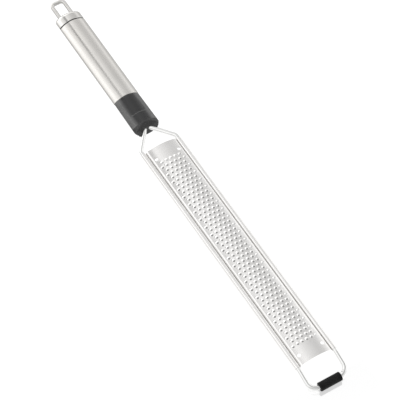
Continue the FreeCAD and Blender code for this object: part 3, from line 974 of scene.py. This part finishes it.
@dataclass
class GraterSheet:
    """Arched strip with raised, pierced teeth and both edges rolled round the wire.

    Attributes:
        wire: The wire that it is rolled on to.
        start: Station of the end at the handle in mm.
        end: Station of the end at the foot in mm.
        thickness: Thickness of the strip in mm.
        arch_top: Height of the strip's top over the plane of the wire in mm.
        arch_radius: Radius of the arch, at the middle of the thickness, in mm.
        shoulder_radius: Radius of the bend between arch and flank in mm.
        flank: Slope of the flank in degrees.
        roll_end: Angle at which the rolled edge ends, from +Y towards +Z, in degrees.
        half_span: Distance of the wire from the middle in mm.
        roll_radius: Radius of the roll, at the middle of the thickness, in mm.
        rows: Number of rows of teeth.
        first_row: Station of the first row in mm.
        row_pitch: Distance between rows in mm.
        tooth_pitch: Distance between teeth in a row in mm.
        height: Height of a tooth's lip in mm.
        raised: Cosine of the direction at which the lip starts to rise, and how far on it is up.
        opening: Shift, half length and half width of a tooth's opening in mm.
        lip_lean: How far the lip leans over the opening in mm.
        base: Shift, half length and half width of a tooth's base in mm.
        lip_out: Share of the way from edge to base of each ring of a tooth.
        lip_up: Share of the height of each ring of a tooth.
        hole_radius: Radius of the round holes in mm.
        hole_rim: Width of the ring of faces round a hole in mm.
        hole_stations: Stations of the two pairs of holes in mm.
        hole_half_span: Distance of the holes from the middle in mm.
        side_field: Width of the finely divided strip beside the teeth in mm.
        lattice: Spacing in mm on which shared points are merged.
    """

    wire: WireFrame = field(default_factory=WireFrame)
    start: float = 163.8
    end: float = 378.3
    thickness: float = 0.35
    arch_top: float = 4.1
    arch_radius: float = 40.0
    shoulder_radius: float = 2.25
    flank: float = 73.0
    roll_end: float = 155.0
    half_span: float = 15.3
    roll_radius: float = 1.955
    rows: int = 48
    first_row: float = 178.9
    row_pitch: float = 3.92
    tooth_pitch: float = 3.8
    height: float = 0.565
    raised: tuple[float, float] = (0.42, 1.05)
    opening: tuple[float, float, float] = (0.16, 0.84, 0.92)
    lip_lean: float = 0.5
    base: tuple[float, float, float] = (-0.08, 1.5, 1.46)
    lip_out: tuple[float, ...] = (0.0, 0.22, 0.5, 0.78, 1.0)
    lip_up: tuple[float, ...] = (1.0, 0.95, 0.6, 0.16, 0.0)
    hole_radius: float = 1.4
    hole_rim: float = 0.18
    hole_stations: tuple[float, float] = (174.0, 371.0)
    hole_half_span: float = 9.75
    side_field: float = 3.6
    lattice: float = 0.002

    def flank_normal(self) -> np.ndarray:
        """Outward direction (y, z) of the flank on the +Y side."""
        return np.array([math.sin(math.radians(self.flank)), math.cos(math.radians(self.flank))])

    def joints(self) -> tuple[float, float, np.ndarray, np.ndarray]:
        """Places where the parts of the section meet.

        The shoulder's centre lies where its arc touches the arch from inside and the flank,
        which in turn touches the roll.

        Returns:
            Height of the arch's centre, half angle of the arch, centre of the shoulder's arc,
            and the distances from the middle at which arch, shoulder, flank and roll end.
        """
        flank, end = math.radians(self.flank), math.radians(self.roll_end)
        centre_z = self.arch_top - self.thickness / 2 - self.arch_radius
        reach = math.sin(flank) * self.half_span - math.cos(flank) * centre_z
        bend = self.arch_radius - self.shoulder_radius
        half = flank - math.acos((reach - self.shoulder_radius - self.roll_radius) / bend)
        shoulder = np.array([bend * math.sin(half), centre_z + bend * math.cos(half)])
        radii = self.roll_radius + self.shoulder_radius
        straight = np.array([self.half_span, 0.0]) - shoulder - radii * self.flank_normal()
        ends = np.cumsum([self.arch_radius * math.sin(half), self.shoulder_radius * (flank - half),
                          float(np.linalg.norm(straight)), self.roll_radius * (end + math.pi / 2 + flank)])
        return centre_z, half, shoulder, ends

    def section(self, w: np.ndarray) -> tuple[np.ndarray, np.ndarray]:
        """Middle line of the section and its outward normal.

        The distance w from the middle counts across the arch first and then along the line.
        Arch, shoulder, flank and roll follow each other, each tangent to the last: on an arc
        the normal's angle changes by distance over radius, on the flank it stays.

        Args:
            w: Distances from the middle, negative on the -Y side.

        Returns:
            Points (y, z) over the plane of the wire, and unit normals (y, z).
        """
        centre_z, half, shoulder, ends = self.joints()
        normal = self.flank_normal()
        down = np.array([normal[1], -normal[0]])
        d = np.abs(w)
        lean = np.arcsin(np.clip(d / self.arch_radius, 0, math.sin(half)))
        arch_n = np.stack([np.sin(lean), np.cos(lean)], -1)
        arch = np.array([0.0, centre_z]) + self.arch_radius * arch_n
        turn = half + np.clip(d - ends[0], 0, None) / self.shoulder_radius
        bent_n = np.stack([np.sin(turn), np.cos(turn)], -1)
        bent = shoulder + self.shoulder_radius * bent_n
        straight = shoulder + self.shoulder_radius * normal + (d - ends[1])[..., None] * down
        wrap = -math.pi / 2 - math.radians(self.flank) + (d - ends[2]) / self.roll_radius
        ray = np.stack([np.cos(wrap), np.sin(wrap)], -1)
        roll = np.array([self.half_span, 0.0]) + self.roll_radius * ray
        zone = np.digitize(d, ends[:3])[..., None]
        line = np.choose(zone, [arch, bent, straight, roll])
        out = np.choose(zone, [arch_n, bent_n, np.broadcast_to(normal, line.shape), -ray])
        mirror = np.stack([np.where(w < 0, -1.0, 1.0), np.ones_like(d)], -1)
        return line * mirror, out * mirror

    def cell(self, rings: np.ndarray, heights: np.ndarray) -> Patch:
        """Points (x, w, height) and quads of one cell, rings running from the hole outwards.

        Args:
            rings: Array of rings by 16 points by (x, w).
            heights: Height of each of those points over the strip.

        Returns:
            Points and quads of the cell.
        """
        square = np.array([(1, 0), (1, .5), (1, 1), (.5, 1), (0, 1), (-.5, 1), (-1, 1), (-1, .5), (-1, 0),
                           (-1, -.5), (-1, -1), (-.5, -1), (0, -1), (.5, -1), (1, -1), (1, -.5)], float)
        rim = square * np.array([self.row_pitch / 2, self.tooth_pitch / 2])
        flat = np.concatenate([rings, rim[None]])
        high = np.concatenate([heights, np.zeros((1, CELL_POINTS))])
        points = np.concatenate([flat, high[..., None]], -1).reshape(-1, 3)
        return points, grid_quads(len(flat), CELL_POINTS, False, True)

    def tooth_cell(self) -> Patch:
        """Cell with one tooth: a lip raised on the handle side of a round opening.

        The raise is 1 towards the handle and falls to 0 towards the foot as a smooth step of
        the cosine of the direction. Rings run from the lip's edge, which leans forward over
        the opening, to the tooth's base, and each has its share of the way out and of the
        height.

        Returns:
            Points and quads of the cell.
        """
        turn = np.arange(CELL_POINTS) * 2 * math.pi / CELL_POINTS
        c, s = np.cos(turn), np.sin(turn)
        step = np.clip((self.raised[0] - c) / self.raised[1], 0, 1)
        lift = step * step * (3 - 2 * step)
        shift, long, wide = self.opening
        edge = np.stack([shift + long * c + self.lip_lean * lift, wide * s], -1)
        shift, long, wide = self.base
        base = np.stack([shift + long * c, wide * s], -1)
        out = np.array(self.lip_out)[:, None, None]
        share = np.array(self.lip_up)[:, None]
        return self.cell(edge + (base - edge) * out, self.height * share * lift)

    def hole_cell(self, shift: float) -> Patch:
        """Cell with one plain round hole, its centre shifted sideways inside the cell.

        Args:
            shift: Distance of the hole from the cell's middle in mm.

        Returns:
            Points and quads of the cell.
        """
        turn = np.arange(CELL_POINTS) * 2 * math.pi / CELL_POINTS
        circle = np.stack([np.cos(turn), np.sin(turn)], -1)
        rings = [circle * radius + np.array([0.0, shift])
                 for radius in (self.hole_radius, self.hole_radius + self.hole_rim)]
        return self.cell(np.stack(rings), np.zeros((2, CELL_POINTS)))

    @staticmethod
    def field_of(xs: np.ndarray, ws: np.ndarray) -> Patch:
        """Plain rectangle of the strip.

        Args:
            xs: Stations of its lines across.
            ws: Distances of its lines along.

        Returns:
            Points and quads.
        """
        x, w = np.meshgrid(xs, ws, indexing="ij")
        points = np.stack([x, w, np.zeros_like(x)], -1).reshape(-1, 3)
        return points, grid_quads(len(xs), len(ws), False, False)

    def toothed(self) -> list[Patch]:
        """Cells of all rows of teeth, five and six by turns, and plain fields beside the short rows.

        Returns:
            Patches of the toothed part.
        """
        half_x, edge = self.row_pitch / 2, 3 * self.tooth_pitch
        tooth, quads = self.tooth_cell()
        row = np.repeat(np.arange(self.rows), 5 + np.arange(self.rows) % 2)
        seat = np.concatenate([np.arange(5 + r % 2) - (4 + r % 2) / 2 for r in range(self.rows)])
        station = self.first_row + row * self.row_pitch
        centre = np.stack([station, seat * self.tooth_pitch, np.zeros(len(row))], -1)
        offset = np.arange(len(row)) * len(tooth)
        made = [((centre[:, None] + tooth[None]).reshape(-1, 3),
                 (quads[None] + offset[:, None, None]).reshape(-1, 4))]
        beside = np.array([edge - self.tooth_pitch / 2, edge - self.tooth_pitch / 4, edge])
        for r in range(0, self.rows, 2):
            xs = self.first_row + r * self.row_pitch + np.linspace(-half_x, half_x, 5)
            made += [self.field_of(xs, np.sort(side * beside)) for side in (-1, 1)]
        return made

    def plain_end(self, low: float, high: float, station: float) -> tuple[list[Patch], list[np.ndarray]]:
        """One plain end of the strip with its two round holes.

        Args:
            low: Station where it starts in mm.
            high: Station where it ends in mm.
            station: Station of its holes in mm.

        Returns:
            Patches, and the stations of their lines.
        """
        half_x, edge = self.row_pitch / 2, 3 * self.tooth_pitch
        seat = edge - self.tooth_pitch / 2
        across = np.arange(-edge, edge + self.tooth_pitch / 8, self.tooth_pitch / 4)
        before, after = (np.linspace(a, b, max(2, round(b - a) + 1))
                         for a, b in ((low, station - half_x), (station + half_x, high)))
        inside = np.linspace(station - half_x, station + half_x, 5)
        middle = across[np.abs(across) < edge - self.tooth_pitch + 1e-6]
        made = [self.field_of(before, across), self.field_of(after, across), self.field_of(inside, middle)]
        for side in (-1, 1):
            points, quads = self.hole_cell(side * (self.hole_half_span - seat))
            made.append((points + np.array([station, side * seat, 0.0]), quads))
        return made, [before, inside, after]

    def patches(self) -> list[Patch]:
        """All parts of the strip in the plane of x and w, still unjoined.

        Returns:
            Patches that share the points of their common lines.
        """
        edge = 3 * self.tooth_pitch
        near = self.first_row - self.row_pitch / 2
        far = self.first_row + (self.rows - 0.5) * self.row_pitch
        made = self.toothed()
        lines = [near + np.arange(self.rows * 4 + 1) * self.row_pitch / 4]
        for low, high, holes in zip((self.start, far), (near, self.end), self.hole_stations):
            fields, stations = self.plain_end(low, high, holes)
            made += fields
            lines += stations
        xs = np.unique(np.round(np.concatenate(lines), 6))
        xs = xs[np.concatenate([[True], np.diff(xs) > 1e-4])]
        side, full = edge + self.side_field, self.joints()[3][3]
        sides = np.concatenate([np.linspace(edge, side, 12), np.linspace(side, full, 36)[1:]])
        return made + [self.field_of(xs, sides), self.field_of(xs, -sides[::-1])]

    def joined(self) -> Patch:
        """Patches with their shared points merged on a fine lattice.

        Returns:
            Points and quads of the whole strip.
        """
        patches = self.patches()
        offsets = np.cumsum([0] + [len(p) for p, _ in patches[:-1]])
        points = np.concatenate([p for p, _ in patches])
        quads = np.concatenate([q + o for (_, q), o in zip(patches, offsets)])
        keys = np.round(points[:, :2] / self.lattice).astype(np.int64)
        _, first, back = np.unique(keys, axis=0, return_index=True, return_inverse=True)
        return points[first], back.reshape(-1)[quads]

    def build(self) -> None:
        """Lift the flat pattern on to the section, give it its thickness and close its rims.

        Outer and inner points are the middle line plus and minus half the thickness along
        the normal, both raised by the height. A rim is found where an edge has one quad.
        """
        flat, quads = self.joined()
        line, normal = self.section(flat[:, 1])
        layers = []
        for offset in (self.thickness / 2, -self.thickness / 2):
            yz = line + normal * (offset + flat[:, 2])[:, None]
            z = yz[:, 1] + self.wire.height(flat[:, 0])
            x = flat[:, 0] - yz[:, 1] * self.wire.plane_slope
            layers.append(np.stack([x, yz[:, 0], z], -1))
        count = len(flat)
        edges = np.concatenate([quads[:, [k, (k + 1) % 4]] for k in range(4)])
        _, first, uses = np.unique(np.sort(edges, axis=1), axis=0, return_index=True, return_counts=True)
        open_edges = edges[first[uses == 1]]
        a, b = open_edges[:, 0], open_edges[:, 1]
        rims = np.stack([b, a, a + count, b + count], -1)
        faces = np.concatenate([quads, quads[:, ::-1] + count, rims])
        piece = new_piece("grater_sheet_skin", place(np.concatenate(layers)), faces.tolist(), 50.0)
        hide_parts("grater_sheet")
        finish_piece(piece, SHEET_STEEL.build())


# Studio


@dataclass
class WhiteFloor:
    """Glossy white floor: a polished pool round the foot, and a painted shadow under the sheet, where its
    glow is dimmed.

    Attributes:
        half_size: Half of the floor's side in metres.
        painted_shadow_x: Stations in metres between which the painted shadow under the sheet fades in and
            out.
        painted_shadow_y: Distances from the middle in metres between which the painted shadow fades out.
        pool_x: Stations in metres between which the pool fades in and out.
        pool_y: Distances from the middle in metres between which the pool fades out.
        handle_side: Stations in metres between which steel begins to see the dimmer white.
        white: Strength of the floor's own white.
        white_seen_by_handle: Strength of it that the steel of the handle sees.
        white_in_painted_shadow: Strength of it in the painted shadow.
        shaded: Grey of the share that takes the soft shadow.
        matt: Grey of the floor as it lights the grater.
        polish: Share of mirror image everywhere, and what the pool adds.
        blur: Roughness of the mirror image.
    """

    half_size: float = 4.0
    painted_shadow_x: tuple[float, ...] = (-0.031, -0.024, 0.1610, 0.1645)
    painted_shadow_y: tuple[float, float] = (0.0150, 0.0115)
    pool_x: tuple[float, ...] = (0.183, 0.193, 0.215, 0.245)
    pool_y: tuple[float, float] = (0.060, 0.030)
    handle_side: tuple[float, float] = (-0.050, -0.065)
    white: float = 1.04
    white_seen_by_handle: float = 0.55
    white_in_painted_shadow: float = 0.25
    shaded: float = 0.12
    matt: float = 0.50
    polish: tuple[float, float] = (0.03, 0.38)
    blur: float = 0.05

    def build(self) -> None:
        """Lay the floor and dress it."""
        a = self.half_size
        mesh = bpy.data.meshes.new("floor")
        mesh.from_pydata([(-a, -a, 0), (a, -a, 0), (a, a, 0), (-a, a, 0)], [], [(0, 1, 2, 3)])
        floor = bpy.data.objects.new("floor", mesh)
        bpy.context.scene.collection.objects.link(floor)
        mesh.materials.append(self.material())

    def material(self) -> bpy.types.Material:
        """Build the node material, which is clear from below so that the underside can be seen.

        Returns:
            The material.
        """
        material, graph = new_material("white_floor")
        x, y, _ = graph.split(graph.coords())
        aside = graph.size(y)
        # Painted shadow: under the sheet the floor's own glow is dimmed, so the floor seen through the teeth
        # looks shaded.
        strip = graph.clip(aside, *self.painted_shadow_y) * graph.band(x, self.painted_shadow_x)
        pool = graph.clip(aside, *self.pool_y) * graph.band(x, self.pool_x)
        mirrored = graph.light_path("Is Glossy Ray")
        looked_at = graph.light_path("Is Camera Ray").high(mirrored)
        white = graph.mix(mirrored * graph.clip(x, *self.handle_side),
                          graph.glow(self.white), graph.glow(self.white_seen_by_handle))
        # The glow is weaker inside the painted shadow.
        white = graph.mix(strip, white, graph.glow(self.white_in_painted_shadow))
        lit = graph.add("ShaderNodeAddShader", {}, {0: white, 1: graph.matt(self.shaded)})
        mirror = graph.add("ShaderNodeBsdfGlossy", {}, {"Color": (1, 1, 1, 1), "Roughness": self.blur})
        seen = graph.mix(pool * self.polish[1] + self.polish[0], lit, mirror)
        above = graph.mix(looked_at, graph.matt(self.matt), seen)
        below = graph.add("ShaderNodeNewGeometry", {}, {}, "Backfacing")
        clear = graph.add("ShaderNodeBsdfTransparent", {}, {"Color": (1, 1, 1, 1)})
        graph.surface(graph.mix(below, above, clear))
        return material


@dataclass
class LightTent:
    """White tent round the grater, with its bright and its dim panels.

    Attributes:
        over_handle: Brightness over the handle by the angle round the X axis, in degrees from +Z to +Y.
        over_sheet: The same over the sheet.
        change: Lengthwise part of the direction in which the one gives way to the other.
        horizon: Heights of the direction between which the tent brightens, and its share at the floor.
        panel_x: Lengthwise parts of the direction between which the small dim panel fades in and out.
        panel_y: Crosswise parts between which it fades in.
        panel_z: Heights between which it fades in.
        panel_dark: How much the panel takes away.
        front: Lengthwise parts between which the front of the tent dims.
        front_dark: How much the front takes away.
        behind: Lengthwise parts between which the tent brightens behind the handle.
        behind_gain: How much it brightens there.
    """

    over_handle: tuple[tuple[float, float], ...] = (
        (-180, 0.55), (-112, 0.55), (-96, 0.58), (-84, 0.68), (-70, 1.00), (-62, 1.50), (-46, 1.55),
        (-38, 1.12), (-27, 0.96), (-18, 0.86), (-14, 0.28), (-8, 0.28), (-4, 1.12), (0, 1.15), (8, 1.02),
        (18, 0.92), (30, 0.78), (42, 0.72), (54, 0.63), (62, 0.72), (72, 0.95), (82, 1.05), (90, 0.84),
        (100, 0.60), (180, 0.55))
    over_sheet: tuple[tuple[float, float], ...] = (
        (-180, 0.90), (-130, 0.80), (-70, 0.85), (-55, 1.30), (-28, 1.30), (-17, 0.80), (-9, 1.04),
        (-5, 1.18), (0, 1.06), (4, 0.95), (9, 0.88), (17, 0.80), (24, 0.74), (30, 0.67), (38, 0.67),
        (43, 0.76), (47, 0.90), (51, 1.12), (57, 1.30), (120, 1.35), (140, 1.00), (180, 0.90))
    change: tuple[float, float] = (-0.504, -0.498)
    horizon: tuple[float, float, float] = (-0.02, 0.14, 0.75)
    panel_x: tuple[float, ...] = (0.02, 0.08, 0.28, 0.36)
    panel_y: tuple[float, float] = (0.12, 0.24)
    panel_z: tuple[float, float] = (0.50, 0.60)
    panel_dark: float = 0.45
    front: tuple[float, float] = (0.40, 0.60)
    front_dark: float = 0.30
    behind: tuple[float, float] = (-0.62, -0.90)
    behind_gain: float = 0.9

    def build(self) -> None:
        """Hang the tent as the world, plain white where the camera looks past the grater."""
        world = bpy.data.worlds.new("light_tent")
        bpy.context.scene.world = world
        world.use_nodes = True
        graph = Graph(world.node_tree)
        direction = graph.add("ShaderNodeTexCoord", {}, {}, "Generated")
        x, y, z = graph.split(direction)
        angle = graph.add("ShaderNodeMath", {"operation": "ARCTAN2"}, {0: y, 1: z})
        top = max(value for _, value in self.over_handle + self.over_sheet)
        turn = angle / (2 * math.pi) + 0.5
        ramps = [[((a + 180) / 360, value / top) for a, value in stops]
                 for stops in (self.over_handle, self.over_sheet)]
        bands = [graph.add("ShaderNodeValToRGB", {"stops": stops}, {"Fac": turn}) for stops in ramps]
        band = graph.blend(graph.clip(x, *self.change), *bands)
        low, high, share = self.horizon
        horizon = graph.clip(z, low, high) * (1 - share) + share
        panel = graph.band(x, self.panel_x) * graph.clip(y, *self.panel_y) * graph.clip(z, *self.panel_z)
        dark = (panel * self.panel_dark).high(graph.clip(x, *self.front) * self.front_dark)
        behind = graph.clip(x, *self.behind) * self.behind_gain + 1.0
        colour = graph.add("ShaderNodeVectorMath", {"operation": "SCALE"},
                           {0: band, "Scale": horizon * (1.0 - dark) * behind})
        tent = graph.add("ShaderNodeBackground", {}, {"Color": colour, "Strength": top})
        white = graph.add("ShaderNodeBackground", {}, {"Color": (1, 1, 1, 1), "Strength": 1.0})
        seen = graph.mix(graph.light_path("Is Camera Ray"), tent, white)
        graph.add("ShaderNodeOutputWorld", {}, {"Surface": seen})


@dataclass
class Studio:
    """Floor, light tent and camera.

    Attributes:
        floor: The floor.
        tent: The light tent.
        eye: Camera position in metres.
        azimuth: Direction of the camera in degrees, from -Y towards +X.
        elevation: Height of the camera in degrees.
        focal: Focal length in pixels of the picture.
        picture: Width of the picture in pixels.
        aim: Picture's middle in the fitted camera, to the right and up, in pixels.
        sensor: Width of the camera's sensor in mm.
        clip: Nearest and farthest distance in metres that the camera sees.
    """

    floor: WhiteFloor = field(default_factory=WhiteFloor)
    tent: LightTent = field(default_factory=LightTent)
    eye: tuple[float, float, float] = (0.6972, -0.4190, 1.2171)
    azimuth: float = 58.973
    elevation: float = 56.150
    focal: float = 1951.04
    picture: float = 400.0
    aim: tuple[float, float] = (13.97, -18.37)
    sensor: float = 36.0
    clip: tuple[float, float] = (0.01, 100.0)

    def camera(self) -> None:
        """Camera at the photograph's angle, aimed so that no lens shift is needed."""
        a, e = math.radians(self.azimuth), math.radians(self.elevation)
        back = Vector((math.sin(a) * math.cos(e), -math.cos(a) * math.cos(e), math.sin(e)))
        right = Vector((math.cos(a), math.sin(a), 0.0))
        up = back.cross(right)
        look = (-back + right * (self.aim[0] / self.focal) + up * (self.aim[1] / self.focal)).normalized()
        new_back = -look
        new_right = up.cross(new_back).normalized()
        new_up = new_back.cross(new_right)
        data = bpy.data.cameras.new("camera")
        data.sensor_width = self.sensor
        data.lens = self.focal / self.picture * self.sensor
        data.clip_start, data.clip_end = self.clip
        camera = bpy.data.objects.new("camera", data)
        bpy.context.scene.collection.objects.link(camera)
        matrix = Matrix((new_right, new_up, new_back)).transposed().to_4x4()
        matrix.translation = Vector(self.eye)
        camera.matrix_world = matrix
        bpy.context.scene.camera = camera

    def build(self) -> None:
        """Build floor, tent and camera."""
        self.floor.build()
        self.tent.build()
        self.camera()
        bpy.context.scene.view_settings.view_transform = "Standard"
        LOG.info("built the studio")


def corners(box: tuple[Vector, Vector]) -> list[list[float]]:
    """Two corners of a box as plain lists."""
    return [list(map(float, box[0])), list(map(float, box[1]))]


def main() -> None:
    """Build every sub-assembly in order."""
    logging.basicConfig(level=logging.INFO, format="%(name)s: %(message)s")
    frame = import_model()
    wire = WireFrame()
    Handle().build(frame["nodes"])
    FrontPiece().build()
    wire.build()
    GraterSheet(wire=wire).build()
    Foot().build()
    Studio().build()
    bpy.context.view_layer.update()


if __name__ == "__main__":
    main()
